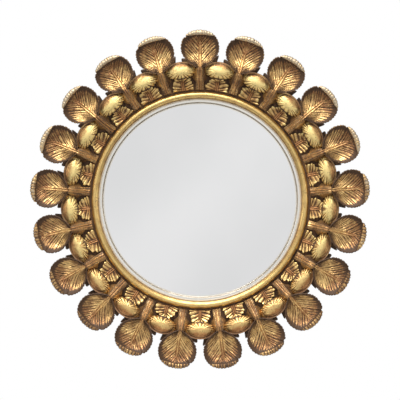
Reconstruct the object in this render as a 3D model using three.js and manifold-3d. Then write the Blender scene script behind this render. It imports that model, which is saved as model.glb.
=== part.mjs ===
// Convex butler's mirror: a bowed round glass in a turned ring, framed by two rows of carved gilt leaves.
// Millimetres and degrees. The mirror faces -Y with +Z up, and the origin is the centre of its flat back.
// Every piece is drawn in "face" coordinates (x right, y up, z out of the back towards the viewer), and the
// last group turns them all upright.
import * as THREE from 'three';
import { mergeVertices } from 'three/addons/utils/BufferGeometryUtils.js';
import Module from 'manifold-3d';

const wasm = await Module();
wasm.setup();

// ---- Driving dimensions ----------------------------------------------------------------------------------

// Fits
const SEAT_GAP = 0.3; // between pieces that touch
const LEAF_GAP = 0.7; // between neighbouring leaves, side to side

// Glass and sight
const SIGHT_RADIUS = 177.5; // visible glass
const GLASS_OVERLAP = 6.5; // glass hidden behind the frame
const GLASS_THICKNESS = 4;
const GLASS_RISE = 22; // how far the centre of the glass stands out beyond its edge

// Bead moulding round the glass
const FILLET_WIDTH = 3;
const FILLET_HEIGHT = 5;
const QUIRK_DEPTH = 1.4;
const BEAD_WIDTH = 12.3;
const BEAD_FOOT = 3.6; // straight foot under the half round

// Turned ring
const RING_THICKNESS = 22;
const RING_OVERHANG = 1.5; // how far the bead hangs in over the ring's inner edge
const LEAF_SEAT_WIDTH = 44.2; // flat front of the ring, outside the bead
const RING_EDGE_ROUND = 5;

// Backboard and its screws
const BOARD_THICKNESS = 6;
const BOARD_LEDGE = 16; // width of the ledge that the board is screwed to
const BOARD_SCREW_COUNT = 6;
const BOARD_SCREW_HEAD_RADIUS = 3.6;
const BOARD_SCREW_SHANK_RADIUS = 1.5;
const BOARD_SCREW_LENGTH = 15;

// Both rows of leaves
const LEAF_COUNT = 21;
const BEAD_TO_LEAF = 3.2; // dark joint between the bead and the roots of the leaves

// Inner leaf: a fan-shaped foot and a domed, folded-over tip
const FAN_LENGTH = 20;
const FAN_ROOT_RISE = 6; // height of the root above the ring
const FAN_TOP_RISE = 13;
const FAN_SIDE_DROP = 3;
const DOME_LENGTH = 31;
const DOME_RISE = 30; // height of the dome's crown above the ring
const DOME_SWELL = 14; // height of the crown above the dome's own rim
const DOME_SHELL = 5;

// Outer leaf: a stem between two domes, a cupped blade with a rolled lip, and two low ears behind it
const STEM_ROOT_WIDTH = 15.4;
const STEM_NECK_WIDTH = 10.2;
const STEM_ROOT_RISE = 8;
const BLADE_OVER_DOME = 16; // how far the blade starts inside the dome's outer edge
const BLADE_LENGTH = 69.2;
const BLADE_SIDE_GAP = 12; // between the widest points of neighbouring blades
const BLADE_BASE_RISE = 31.5; // height of the neck of the blade above the ring
const BLADE_THICKNESS = 4.5;
const CUP_DEPTH = 9; // fall from the neck to the bottom of the cup
const LIP_RISE = 17; // climb from the bottom of the cup to the crest of the lip
const LIP_RADIUS = 5; // outside of the roll, at the middle of the tip
const LIP_WALL = 3;
const LIP_END_RADIUS = 2.25; // outside of the roll, where it runs out at the shoulders
const KEEL_LENGTH = 27; // rib under the neck of the blade
const EAR_THICKNESS = 6;
const EAR_ROUND_REACH = 4.5; // rounded ear, beyond the dome's outer edge
const EAR_POINTED_REACH = 10; // pointed ear, likewise

// Hanger on the back
const STRAP_THICKNESS = 1.2;
const STRAP_WIDTH = 12;
const STRAP_LENGTH = 17;
const STRAP_END_ROUND = 3;
const HANGER_SCREW_DROP = 9.5; // from the ring's axis down to the screw
const HANGER_SCREW_HEAD_RADIUS = 3.6;
const HANGER_SCREW_HEAD_HEIGHT = 1.8;
const HANGER_SCREW_SHANK_RADIUS = 1.5;
const HANGER_SCREW_LENGTH = 12;
const WIRE_RADIUS = 1.4;
const WIRE_CLEARANCE = 0.35;
const LOOP_WIDTH = 24.8; // D-ring, to the middle of its wire
const LOOP_DROP = 28.4;
const LOOP_CORNER = 3;

// Felt pads low on the back
const BUMPER_RADIUS = 7;
const BUMPER_THICKNESS = 3;
const BUMPER_ANGLE = 30; // each side of the bottom

// ---- Sizes that follow -----------------------------------------------------------------------------------

const DEGREE = Math.PI / 180;
const PITCH = 360 / LEAF_COUNT;
const BEAD_SEGMENTS = 3 * LEAF_COUNT;
const RING_SEGMENTS = 2 * LEAF_COUNT; // ring, glass and board, so that their facets line up

const glassRadius = SIGHT_RADIUS + GLASS_OVERLAP;
const glassRebateRadius = glassRadius + 2 * SEAT_GAP;
const glassBack = BOARD_THICKNESS + SEAT_GAP;
const glassFront = glassBack + GLASS_THICKNESS;
const boardRadius = glassRebateRadius + BOARD_LEDGE;
const boardRebateRadius = boardRadius + 2 * SEAT_GAP;
const boardScrewRadius = glassRebateRadius + BOARD_LEDGE / 2;

const glassSphere = (glassRadius ** 2 + GLASS_RISE ** 2) / (2 * GLASS_RISE);
const glassSphereCentre = glassFront + GLASS_RISE - glassSphere;

const ringInner = SIGHT_RADIUS + RING_OVERHANG;
const lipBack = glassHeight(ringInner) + SEAT_GAP; // the ring's lip rests on the front of the glass
const beadOuter = SIGHT_RADIUS + FILLET_WIDTH + BEAD_WIDTH;
const ringOuter = beadOuter + LEAF_SEAT_WIDTH;
const leafSeat = RING_THICKNESS + SEAT_GAP;
const leafRoot = beadOuter + BEAD_TO_LEAF;

const domeStart = leafRoot + FAN_LENGTH;
const domeEnd = domeStart + DOME_LENGTH;
const bladeStart = domeEnd - BLADE_OVER_DOME;
const bladeEnd = bladeStart + BLADE_LENGTH;

/** Height of the front of the bowed glass at a distance from its centre. */
function glassHeight(radius) {
  return glassSphereCentre + Math.sqrt(glassSphere ** 2 - radius ** 2);
}

// ---- Materials -------------------------------------------------------------------------------------------

const leafGold = () => new THREE.MeshStandardMaterial({ color: 0xb98f4e, roughness: 0.38, metalness: 0.85 });
const beadGold = () => new THREE.MeshStandardMaterial({ color: 0xd2b06c, roughness: 0.3, metalness: 0.9 });
const stainedWood = () => new THREE.MeshStandardMaterial({ color: 0x4a3020, roughness: 0.7, metalness: 0 });
const plywood = () => new THREE.MeshStandardMaterial({ color: 0x8a6a48, roughness: 0.8, metalness: 0 });
const silvering = () => new THREE.MeshStandardMaterial({ color: 0xe4e4e6, roughness: 0.02, metalness: 1 });
const brass = () => new THREE.MeshStandardMaterial({ color: 0xb08d4a, roughness: 0.35, metalness: 1 });
const steel = () => new THREE.MeshStandardMaterial({ color: 0x9a9a98, roughness: 0.4, metalness: 1 });
const felt = () => new THREE.MeshStandardMaterial({ color: 0x3a3532, roughness: 0.95, metalness: 0 });

// ---- Solids: joining, cutting, turning and lofting -------------------------------------------------------

/** A closed three.js geometry as a solid that can be joined and cut. */
function toSolid(geometry) {
  const bare = geometry.clone();
  bare.deleteAttribute('normal');
  bare.deleteAttribute('uv');
  const merged = mergeVertices(bare, 1e-4);
  return new wasm.Manifold(new wasm.Mesh({
    numProp: 3,
    vertProperties: new Float32Array(merged.attributes.position.array),
    triVerts: new Uint32Array(merged.index.array),
  }));
}

/** A joined or cut solid as a three.js geometry. */
function toGeometry(solid) {
  const mesh = solid.getMesh();
  const geometry = new THREE.BufferGeometry();
  geometry.setAttribute('position', new THREE.BufferAttribute(mesh.vertProperties, 3));
  geometry.setIndex(new THREE.BufferAttribute(mesh.triVerts, 1));
  geometry.computeVertexNormals();
  return geometry;
}

/** A profile of [radius, height] points turned about the face's z axis. */
function turned(profile, segments) {
  const points = profile.map(([radius, height]) => new THREE.Vector2(radius, height));
  return new THREE.LatheGeometry(points, segments).rotateX(Math.PI / 2);
}

/** Joins points on an arc: n + 1 [x, y] pairs from one angle to the other. */
function arcPoints(centreX, centreY, radiusX, radiusY, from, to, n) {
  return Array.from({ length: n + 1 }, (_, i) => {
    const angle = (from + (to - from) * i / n) * DEGREE;
    return [centreX + radiusX * Math.cos(angle), centreY + radiusY * Math.sin(angle)];
  });
}

/**
 * A closed solid between a front and a back sheet. Each sheet is a grid of points: rows run from the root of
 * the leaf to its tip, and each row runs from left to right.
 */
function sheetSolid(front, back) {
  const rows = front.length;
  const columns = front[0].length;
  const positions = [...front.flat(), ...back.flat()].flat();
  const frontAt = (row, column) => row * columns + column;
  const backAt = (row, column) => rows * columns + frontAt(row, column);
  const faces = [];
  const quad = (a, b, c, d) => faces.push(a, b, c, a, c, d);
  for (let row = 0; row < rows - 1; row += 1) {
    for (let column = 0; column < columns - 1; column += 1) {
      quad(frontAt(row, column), frontAt(row, column + 1), frontAt(row + 1, column + 1), frontAt(row + 1, column));
      quad(backAt(row, column), backAt(row + 1, column), backAt(row + 1, column + 1), backAt(row, column + 1));
    }
    const last = columns - 1;
    quad(backAt(row, 0), frontAt(row, 0), frontAt(row + 1, 0), backAt(row + 1, 0));
    quad(frontAt(row, last), backAt(row, last), backAt(row + 1, last), frontAt(row + 1, last));
  }
  for (let column = 0; column < columns - 1; column += 1) {
    const top = rows - 1;
    quad(backAt(0, column), backAt(0, column + 1), frontAt(0, column + 1), frontAt(0, column));
    quad(frontAt(top, column), frontAt(top, column + 1), backAt(top, column + 1), backAt(top, column));
  }
  const geometry = new THREE.BufferGeometry();
  geometry.setAttribute('position', new THREE.Float32BufferAttribute(positions, 3));
  geometry.setIndex(faces);
  geometry.computeVertexNormals();
  return geometry;
}

/** Eases from one value to another with level ends, as share goes from 0 to 1. */
function ease(from, to, share) {
  const held = Math.min(1, Math.max(0, share));
  return from + (to - from) * (1 - Math.cos(Math.PI * held)) / 2;
}

/** Half of the room that the pitch leaves between two leaf axes, at a distance from the centre. */
function halfPitchAt(radius) {
  return radius * Math.tan(PITCH / 2 * DEGREE);
}

// ---- Ring, bead, glass and backboard ---------------------------------------------------------------------

const countersink = BOARD_SCREW_HEAD_RADIUS - BOARD_SCREW_SHANK_RADIUS;

/** A countersunk screw that points into the wood, with its head flush at z = 0. */
function boardScrew() {
  const shank = BOARD_SCREW_SHANK_RADIUS;
  const pointLength = 2 * shank;
  return turned([
    [0, 0],
    [BOARD_SCREW_HEAD_RADIUS, 0],
    [shank, countersink],
    [shank, BOARD_SCREW_LENGTH - pointLength],
    [0, BOARD_SCREW_LENGTH],
  ], 8);
}

/** The countersunk hole for that screw, which runs out of the back. */
function boardScrewHole() {
  const head = BOARD_SCREW_HEAD_RADIUS + SEAT_GAP;
  const shank = BOARD_SCREW_SHANK_RADIUS + SEAT_GAP;
  const end = BOARD_SCREW_LENGTH + SEAT_GAP;
  return turned([[0, -1], [head + 1, -1], [shank, countersink], [shank, end], [0, end]], 8);
}

/** Places a copy of a geometry on a circle round the face's z axis, angle clockwise from the top. */
function onCircle(geometry, radius, angle) {
  return geometry.clone().translate(0, radius, 0).rotateZ(-angle * DEGREE);
}

const boardScrewAngles = Array.from(
  { length: BOARD_SCREW_COUNT },
  (_, i) => (i + 0.5) * 360 / BOARD_SCREW_COUNT,
);

function cutScrewHoles(solid) {
  return boardScrewAngles.reduce(
    (rest, angle) => rest.subtract(toSolid(onCircle(boardScrewHole(), boardScrewRadius, angle))),
    solid,
  );
}

/** The carrying ring: a flat back with two rebates, and a flat front with a rounded outer edge. */
function carcassRing() {
  const edge = arcPoints(
    ringOuter - RING_EDGE_ROUND,
    RING_THICKNESS - RING_EDGE_ROUND,
    RING_EDGE_ROUND,
    RING_EDGE_ROUND,
    0,
    90,
    2,
  );
  const profile = [
    [boardRebateRadius, 0],
    [ringOuter - 2, 0],
    [ringOuter, 2],
    ...edge,
    [ringInner, RING_THICKNESS],
    [ringInner, lipBack],
    [glassRebateRadius, lipBack],
    [glassRebateRadius, glassBack],
    [boardRebateRadius, glassBack],
    [boardRebateRadius, 0],
  ];
  const ring = cutScrewHoles(toSolid(turned(profile, RING_SEGMENTS)));
  return toGeometry(ring.subtract(toSolid(hangerPilotHole())));
}

/** The sight moulding: a thin inner fillet, a quirk and a half round on a straight foot. */
function beadRing() {
  const inner = SIGHT_RADIUS;
  const beadInner = inner + FILLET_WIDTH;
  const foot = leafSeat + BEAD_FOOT;
  const round = arcPoints(beadInner + BEAD_WIDTH / 2, foot, BEAD_WIDTH / 2, BEAD_WIDTH * 0.62, 0, 180, 6);
  const profile = [
    [inner, leafSeat],
    [beadOuter, leafSeat],
    ...round.slice(0, -1),
    [beadInner, leafSeat + FILLET_HEIGHT - QUIRK_DEPTH],
    [beadInner - FILLET_WIDTH / 3, leafSeat + FILLET_HEIGHT],
    [inner, leafSeat + FILLET_HEIGHT],
    [inner, leafSeat],
  ];
  return turned(profile, BEAD_SEGMENTS);
}

/** The bowed glass: two caps of one sphere, a thickness apart, joined at the edge. */
function mirrorGlass() {
  const rings = 3;
  const cap = (lift) => Array.from({ length: rings + 1 }, (_, i) => {
    const radius = glassRadius * i / rings;
    return [radius, glassHeight(radius) + lift];
  });
  const profile = [...cap(-GLASS_THICKNESS), ...cap(0).reverse()];
  return turned(profile, RING_SEGMENTS);
}

function backboard() {
  const profile = [[0, 0], [boardRadius, 0], [boardRadius, BOARD_THICKNESS], [0, BOARD_THICKNESS]];
  return toGeometry(cutScrewHoles(toSolid(turned(profile, RING_SEGMENTS))));
}

// ---- Inner leaf ------------------------------------------------------------------------------------------

const domeHalfWidth = halfPitchAt((domeStart + domeEnd) / 2) - STEM_NECK_WIDTH / 2 - LEAF_GAP;
const fanHalfWidth = halfPitchAt(leafRoot) - STEM_ROOT_WIDTH / 2 - LEAF_GAP;
const domeCentre = domeStart + DOME_LENGTH * 0.46;
const domeRimHeight = leafSeat + DOME_RISE - DOME_SWELL;

/** Height of the domed tip: half an ellipsoid standing on its own rim. */
function domeHeight(x, y) {
  const reach = y < domeCentre ? domeCentre - domeStart : domeEnd - domeCentre;
  const share = (x / domeHalfWidth) ** 2 + ((y - domeCentre) / reach) ** 2;
  return domeRimHeight + DOME_SWELL * Math.sqrt(Math.max(0, 1 - share));
}

/** Height of the fan-shaped foot, which climbs from the root and falls to both sides. */
function fanHeight(x, y) {
  const climb = (y - leafRoot) / FAN_LENGTH;
  const rise = FAN_ROOT_RISE + (FAN_TOP_RISE - FAN_ROOT_RISE) * climb;
  return leafSeat + rise - FAN_SIDE_DROP * (x / fanHalfWidth) ** 2;
}

/**
 * The inner leaf. Its foot stands on the ring. The tip is a shell that swells forward, hangs out beyond the
 * foot and leaves room below it for the ears of the outer leaves.
 */
function innerLeaf() {
  const shares = [-1, -0.65, -0.22, 0.22, 0.65, 1];
  const fanRows = [0, 0.96].map((climb) => ({
    y: leafRoot + FAN_LENGTH * climb,
    half: fanHalfWidth + 2 * climb,
    bend: 3 * climb,
  }));
  const domeRows = [145, 118, 90, 58].map((angle) => {
    const reach = angle > 90 ? domeCentre - domeStart : domeEnd - domeCentre;
    return {
      y: domeCentre + reach * Math.cos(angle * DEGREE) - (angle > 90 ? 3 : 0),
      half: domeHalfWidth * Math.max(Math.sin(angle * DEGREE), 0.84),
      bend: angle > 90 ? 3 : 0,
    };
  });
  const foot = fanRows.map(({ y, half, bend }) => shares.map((share) => {
    const x = half * share;
    const along = y + bend * share ** 2;
    return [x, along, fanHeight(x, along)];
  }));
  const tip = domeRows.map(({ y, half, bend }) => shares.map((share) => {
    const x = half * share;
    const along = y + bend * share ** 2;
    return [x, along, domeHeight(x, along)];
  }));
  const rim = shares.map((share) => {
    const angle = 52 * share * DEGREE;
    const x = domeHalfWidth * Math.sin(angle);
    return [x, domeCentre + (domeEnd - domeCentre) * Math.cos(angle), domeRimHeight];
  });
  const front = [...foot, ...tip, rim];
  const footEnd = domeStart + 4;
  const back = front.map((row, index) => row.map(([x, y, height]) => {
    if (index < foot.length - 1) {
      return [x, y, leafSeat];
    }
    if (index === foot.length - 1) {
      return [x, footEnd, leafSeat];
    }
    return [x, Math.max(y, footEnd + 1.5 * (index - foot.length + 1)), height - DOME_SHELL];
  }));
  return sheetSolid(front, back);
}

// ---- Outer leaf ------------------------------------------------------------------------------------------

const bladeWidest = bladeStart + BLADE_LENGTH * 0.53;
const bladeHalfWidth = halfPitchAt(bladeWidest) - BLADE_SIDE_GAP / 2;
const bladeBase = leafSeat + BLADE_BASE_RISE;
const cupFloor = bladeBase - CUP_DEPTH;
const SHOULDER_ANGLE = 48; // where the rolled lip begins, from the tip round the outline
const FOLD_ANGLE = -45; // where the cup runs into the inside of the roll, from straight outward
const lipChord = bladeOutline(SHOULDER_ANGLE)[1]; // the lip's free edge lies along this straight line
const lipAxisHeight = cupFloor + LIP_RISE - LIP_RADIUS;

/**
 * Outline of the blade, by the angle round its widest point: 0 is the tip and 180 the neck. The tip is a
 * squarish round and the neck draws in as a spade does.
 */
function bladeOutline(angle) {
  const across = Math.sin(angle * DEGREE);
  const along = Math.cos(angle * DEGREE);
  const towardsTip = along > 0;
  const x = bladeHalfWidth * Math.sign(across) * Math.abs(across) ** (towardsTip ? 0.91 : 1.6);
  const y = towardsTip
    ? bladeWidest + (bladeEnd - bladeWidest) * along ** 0.91
    : bladeWidest + (bladeWidest - bladeStart) * along;
  return [x, y];
}

/**
 * A point of the rolled lip. The share runs from one shoulder, -1, to the other, 1, and the angle goes round
 * the roll from straight outward. The roll is widest where the tip stands out furthest beyond its chord.
 */
function lipPoint(share, angle, inside) {
  const [x, y] = bladeOutline(SHOULDER_ANGLE * share);
  const curl = (y - lipChord) / (bladeEnd - lipChord);
  const outer = LIP_END_RADIUS + (LIP_RADIUS - LIP_END_RADIUS) * curl;
  const radius = inside ? outer * (1 - LIP_WALL / LIP_RADIUS) : outer;
  return [
    x,
    y - outer + radius * Math.cos(angle * DEGREE),
    lipAxisHeight + radius * Math.sin(angle * DEGREE),
  ];
}

/** Height along the middle of the blade: down from the neck into the cup and up to the fold of the lip. */
function bladeSpine(y) {
  const cupAt = bladeStart + 0.45 * BLADE_LENGTH;
  if (y < cupAt) {
    return ease(bladeBase, cupFloor, (y - bladeStart) / (cupAt - bladeStart));
  }
  const [, foldAt, foldHeight] = lipPoint(0, FOLD_ANGLE, true);
  return cupFloor + (foldHeight - cupFloor) * ((y - cupAt) / (foldAt - cupAt)) ** 2;
}

/** Height of the blade's side edges, which climb from the neck to the ends of the lip. */
function bladeEdge(y) {
  return bladeBase + (lipAxisHeight - bladeBase) * (y - bladeStart) / (lipChord - bladeStart);
}

/** The cupped blade, a shell of even thickness whose tip is rolled forward and back over the cup. */
function bladeShell() {
  const shares = [-1, -0.6, -0.2, 0.2, 0.6, 1];
  const cup = [165, 133, 101, 67].map((angle) => {
    const [half, y] = bladeOutline(angle);
    return shares.map((share) => {
      const height = bladeSpine(y) + (bladeEdge(y) - bladeSpine(y)) * share ** 2;
      return [half * share, y, height];
    });
  });
  const underside = cup.map((row) => row.map(([x, y, height]) => [x, y, height - BLADE_THICKNESS]));
  const lipLine = (angle, inside) => shares.map((share) => lipPoint(share, angle, inside));
  const front = [...cup, ...[FOLD_ANGLE, 15, 90, 150].map((angle) => lipLine(angle, true))];
  const back = [...underside, ...[-60, 0, 75, 150].map((angle) => lipLine(angle, false))];
  return sheetSolid(front, back);
}

/** The stem, which stands on the ring, climbs between two domes and runs on as a keel under the blade. */
function stemSolid() {
  const neck = bladeStart;
  const keelEnd = bladeStart + KEEL_LENGTH;
  const stations = [leafRoot, (leafRoot + neck) / 2, neck, neck + 5, keelEnd];
  const shares = [-1, 0, 1];
  const front = stations.map((y) => {
    const climb = Math.min(1, (y - leafRoot) / (neck - leafRoot));
    const half = ease(STEM_ROOT_WIDTH, STEM_NECK_WIDTH, climb) / 2 * (y > neck + 5 ? 0.7 : 1);
    const crown = y > neck
      ? bladeSpine(y) - BLADE_THICKNESS / 2
      : leafSeat + ease(STEM_ROOT_RISE, BLADE_BASE_RISE, climb);
    return shares.map((share) => [half * share, y, crown - (Math.abs(share) === 1 ? 2 : 0)]);
  });
  const back = front.map((row, index) => row.map(([x, y]) => {
    const keelBottom = index === stations.length - 1 ? bladeSpine(y) - BLADE_THICKNESS - 0.5 : leafSeat;
    return [x, y, keelBottom];
  }));
  return sheetSolid(front, back);
}

/** The two low ears, one rounded and one pointed, cut from one plate that lies on the ring. */
function earPlate() {
  const side = STEM_NECK_WIDTH / 2 - 1;
  const low = domeStart + 8;
  const high = domeEnd + 1;
  const roundTip = domeEnd + EAR_ROUND_REACH;
  const pointTip = domeEnd + EAR_POINTED_REACH;
  const roundX = roundTip * Math.tan(-0.45 * PITCH * DEGREE);
  const pointX = pointTip * Math.tan(0.42 * PITCH * DEGREE);
  const outline = new THREE.Shape();
  outline.moveTo(side, low);
  outline.quadraticCurveTo(pointX * 0.85, low + 8, pointX, pointTip - 1);
  outline.quadraticCurveTo(pointX * 0.7, high, side, high);
  outline.lineTo(-side, high);
  outline.quadraticCurveTo(roundX * 0.55, high + 3, roundX * 0.88, roundTip);
  outline.lineTo(roundX, roundTip - 4);
  outline.quadraticCurveTo(roundX * 0.8, low + 5, -side, low);
  const plate = new THREE.ExtrudeGeometry(outline, {
    depth: EAR_THICKNESS,
    bevelEnabled: false,
    curveSegments: 2,
  });
  return plate.translate(0, 0, leafSeat);
}

function outerLeaf() {
  return toGeometry(toSolid(stemSolid()).add(toSolid(bladeShell())).add(toSolid(earPlate())));
}

// ---- Hanger and bumpers ----------------------------------------------------------------------------------

const knuckleBore = WIRE_RADIUS + WIRE_CLEARANCE;
const knuckleOuter = knuckleBore + STRAP_THICKNESS;
const hangerAxisDepth = SEAT_GAP + knuckleOuter; // behind the flat back
const hangerAxisHeight = (boardRebateRadius + ringOuter) / 2 + HANGER_SCREW_DROP;
const hangerScrewHeight = hangerAxisHeight - HANGER_SCREW_DROP;

function hangerPilotHole() {
  const radius = HANGER_SCREW_SHANK_RADIUS + SEAT_GAP;
  const depth = HANGER_SCREW_LENGTH;
  return turned([[0, -1], [radius, -1], [radius, depth], [0, depth]], 8).translate(0, hangerScrewHeight, 0);
}

/** The brass strap, folded round the wire at its upper end and held by one screw. */
function hangerStrap() {
  const plateFront = SEAT_GAP;
  const plateBack = SEAT_GAP + STRAP_THICKNESS;
  const curlEnd = -140 * DEGREE;
  const side = new THREE.Shape();
  side.moveTo(plateFront, -STRAP_LENGTH);
  side.lineTo(plateFront, 0);
  side.absarc(hangerAxisDepth, 0, knuckleOuter, Math.PI, curlEnd, true);
  side.lineTo(
    hangerAxisDepth + knuckleBore * Math.cos(curlEnd),
    knuckleBore * Math.sin(curlEnd),
  );
  side.absarc(hangerAxisDepth, 0, knuckleBore, curlEnd, Math.PI, false);
  side.lineTo(plateBack, -STRAP_LENGTH);
  const folded = new THREE.ExtrudeGeometry(side, { depth: STRAP_WIDTH, bevelEnabled: false, curveSegments: 7 });
  folded.translate(0, 0, -STRAP_WIDTH / 2).rotateY(Math.PI / 2);

  const half = STRAP_WIDTH / 2;
  const round = STRAP_END_ROUND;
  const tongue = new THREE.Shape();
  tongue.moveTo(-half, knuckleOuter + 1);
  tongue.lineTo(-half, -STRAP_LENGTH + round);
  tongue.absarc(-half + round, -STRAP_LENGTH + round, round, Math.PI, Math.PI * 1.5, false);
  tongue.absarc(half - round, -STRAP_LENGTH + round, round, Math.PI * 1.5, Math.PI * 2, false);
  tongue.lineTo(half, knuckleOuter + 1);
  const reach = 4 * knuckleOuter;
  const tongueBlock = new THREE.ExtrudeGeometry(tongue, { depth: reach, bevelEnabled: false, curveSegments: 2 });
  tongueBlock.translate(0, 0, -reach);

  const holeRadius = HANGER_SCREW_SHANK_RADIUS + SEAT_GAP;
  const hole = turned([[0, -reach], [holeRadius, -reach], [holeRadius, 1], [0, 1]], 8);
  hole.translate(0, -HANGER_SCREW_DROP, 0);
  const strap = toSolid(folded).intersect(toSolid(tongueBlock)).subtract(toSolid(hole));
  return toGeometry(strap).translate(0, hangerAxisHeight, 0);
}

function hangerScrew() {
  const seat = -(2 * SEAT_GAP + STRAP_THICKNESS);
  const head = HANGER_SCREW_HEAD_RADIUS;
  const shank = HANGER_SCREW_SHANK_RADIUS;
  const tip = seat + HANGER_SCREW_LENGTH;
  const profile = [
    [0, seat - HANGER_SCREW_HEAD_HEIGHT],
    [head * 0.6, seat - HANGER_SCREW_HEAD_HEIGHT],
    [head, seat - HANGER_SCREW_HEAD_HEIGHT * 0.35],
    [head, seat],
    [shank, seat],
    [shank, tip - 3],
    [0, tip],
  ];
  return turned(profile, 8).translate(0, hangerScrewHeight, 0);
}

/** The D-ring: a round wire bent into a closed loop, its straight bar lying in the strap's knuckle. */
function hangerLoop() {
  const half = LOOP_WIDTH / 2;
  const bowCentre = half - LOOP_DROP;
  const path = new THREE.Path();
  path.moveTo(0, 0);
  path.lineTo(-half + LOOP_CORNER, 0);
  path.absarc(-half + LOOP_CORNER, -LOOP_CORNER, LOOP_CORNER, Math.PI / 2, Math.PI, false);
  path.lineTo(-half, bowCentre);
  path.absarc(0, bowCentre, half, Math.PI, 2 * Math.PI, false);
  path.lineTo(half, -LOOP_CORNER);
  path.absarc(half - LOOP_CORNER, -LOOP_CORNER, LOOP_CORNER, 0, Math.PI / 2, false);
  path.lineTo(0, 0);

  const steps = 24;
  const sides = 8;
  const positions = [];
  const faces = [];
  for (let step = 0; step < steps; step += 1) {
    const point = path.getPointAt(step / steps);
    const tangent = path.getTangentAt(step / steps);
    for (let side = 0; side < sides; side += 1) {
      const angle = (side + 0.5) / sides * 2 * Math.PI;
      const outward = WIRE_RADIUS * Math.cos(angle);
      positions.push(point.x + outward * tangent.y, point.y - outward * tangent.x, WIRE_RADIUS * Math.sin(angle));
      const next = (step + 1) % steps * sides;
      const here = step * sides;
      const turn = (side + 1) % sides;
      faces.push(here + side, next + turn, here + turn, here + side, next + side, next + turn);
    }
  }
  const geometry = new THREE.BufferGeometry();
  geometry.setAttribute('position', new THREE.Float32BufferAttribute(positions, 3));
  geometry.setIndex(faces);
  geometry.computeVertexNormals();
  return geometry.translate(0, hangerAxisHeight, -hangerAxisDepth);
}

function bumper(side) {
  const back = -SEAT_GAP;
  const pad = turned([
    [0, back - BUMPER_THICKNESS],
    [BUMPER_RADIUS, back - BUMPER_THICKNESS],
    [BUMPER_RADIUS, back],
    [0, back],
  ], 12);
  return onCircle(pad, (boardRebateRadius + ringOuter) / 2, 180 + side * BUMPER_ANGLE);
}

// ---- Assembly --------------------------------------------------------------------------------------------

const face = new THREE.Group();

function addPiece(name, geometry, material, parent = face) {
  const mesh = new THREE.Mesh(geometry, material);
  mesh.name = name;
  parent.add(mesh);
  return mesh;
}

/** One row of leaves: each is the same carving in a group turned clockwise round the glass. */
function addLeafRow(name, geometry, firstAngle) {
  for (let i = 0; i < LEAF_COUNT; i += 1) {
    const spoke = new THREE.Group();
    spoke.rotation.z = -(firstAngle + i * PITCH) * DEGREE;
    face.add(spoke);
    addPiece(`${name}_${String(i + 1).padStart(2, '0')}`, geometry, leafGold(), spoke);
  }
}

addPiece('carcass_ring', carcassRing(), stainedWood());
addPiece('bead_ring', beadRing(), beadGold());
addPiece('mirror_glass', mirrorGlass(), silvering());
addPiece('backboard', backboard(), plywood());
addLeafRow('outer_leaf', outerLeaf(), 0);
addLeafRow('inner_leaf', innerLeaf(), PITCH / 2);
boardScrewAngles.forEach((angle, i) => {
  addPiece(`backboard_screw_${i + 1}`, onCircle(boardScrew(), boardScrewRadius, angle), steel());
});
addPiece('hanger_strap', hangerStrap(), brass());
addPiece('hanger_screw', hangerScrew(), steel());
addPiece('hanger_ring', hangerLoop(), brass());
addPiece('bumper_left', bumper(1), felt());
addPiece('bumper_right', bumper(-1), felt());

face.rotation.x = Math.PI / 2;
const mirror = new THREE.Group();
mirror.add(face);

export default mirror;
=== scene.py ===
import math

import bpy
import numpy as np
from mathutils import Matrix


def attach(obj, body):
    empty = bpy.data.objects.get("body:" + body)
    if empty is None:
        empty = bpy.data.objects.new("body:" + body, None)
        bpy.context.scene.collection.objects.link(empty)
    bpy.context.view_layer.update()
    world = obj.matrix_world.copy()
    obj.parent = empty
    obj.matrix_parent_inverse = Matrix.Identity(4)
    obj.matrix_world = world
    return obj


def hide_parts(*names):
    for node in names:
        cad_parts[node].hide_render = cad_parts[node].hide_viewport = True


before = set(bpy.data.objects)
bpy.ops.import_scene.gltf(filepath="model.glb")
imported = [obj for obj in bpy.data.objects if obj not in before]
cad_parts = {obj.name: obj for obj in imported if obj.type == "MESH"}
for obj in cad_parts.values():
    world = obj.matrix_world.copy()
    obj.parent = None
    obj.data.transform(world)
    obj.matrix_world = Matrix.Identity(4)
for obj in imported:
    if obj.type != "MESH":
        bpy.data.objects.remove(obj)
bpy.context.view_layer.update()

# ---------------------------------------------------------------------------------------------------------
# Camera. The mirror is photographed square on with a long lens, and its circle of leaves fills 341 of the
# picture's 400 pixels.
# ---------------------------------------------------------------------------------------------------------
leaf_circle = 0.6
picture_width = leaf_circle * 400 / 341
camera_distance = 3.0
lip_depth = 0.056  # the rolled lips stand this far in front of the wall

camera_data = bpy.data.cameras.new("camera")
camera_data.lens = camera_data.sensor_width * (camera_distance - lip_depth) / picture_width
camera = bpy.data.objects.new("camera", camera_data)
camera.location = (0, -camera_distance, 0)
camera.rotation_euler = (math.pi / 2, 0, 0)
bpy.context.scene.collection.objects.link(camera)
bpy.context.scene.camera = camera
bpy.context.scene.view_settings.view_transform = "Standard"

# ---------------------------------------------------------------------------------------------------------
# Studio. A white background, a pale floor below the picture, a soft key light from above and in front, and
# a weak one from each side. The glass shows only what is in front: light grey, with a soft lighter band.
# ---------------------------------------------------------------------------------------------------------
room_front = 0.80
room_around = 0.30
room_above = 0.75
room_below = 0.06


def feed(tree, target, inputs):
    """Sets a node's inputs, each to a value or by a link from the socket that it comes from."""
    for key, value in inputs.items():
        if isinstance(value, bpy.types.NodeSocket):
            tree.links.new(value, target.inputs[key])
        else:
            target.inputs[key].default_value = value


def node(tree, kind, inputs=None, **settings):
    """Adds a node with its settings and feeds its inputs."""
    made = tree.nodes.new(kind)
    for name, value in settings.items():
        setattr(made, name, value)
    feed(tree, made, inputs or {})
    return made


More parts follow.
